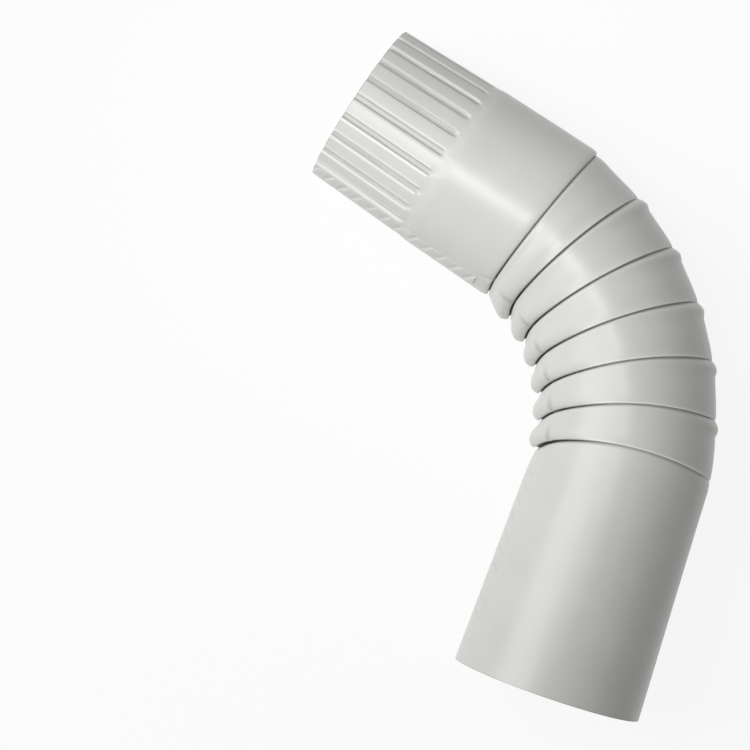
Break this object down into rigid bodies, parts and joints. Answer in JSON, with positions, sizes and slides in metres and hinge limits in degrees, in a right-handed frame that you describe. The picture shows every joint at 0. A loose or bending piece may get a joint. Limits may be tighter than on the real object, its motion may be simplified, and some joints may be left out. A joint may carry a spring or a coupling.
{
  "type": "round pleated downspout elbow",
  "caption": "One-piece round sheet-metal elbow that turns a downspout through 75 degrees in seven pressed folds, with a plain mouth at one end and a crimped end at the other.",
  "frame": {"origin": "centre of the plain end's mouth, on the bend's plane", "axes": "+Y into the plain leg along its axis, the bend turns towards -X in the plane of X and Y, +Z out of that plane"},
  "size_m": [0.273, 0.3256, 0.1088],
  "materials": {
    "painted_steel": "semi_gloss"
  },
  "bodies": {
    "root": {"downspout_elbow": "painted_steel"}
  },
  "joints": []
}
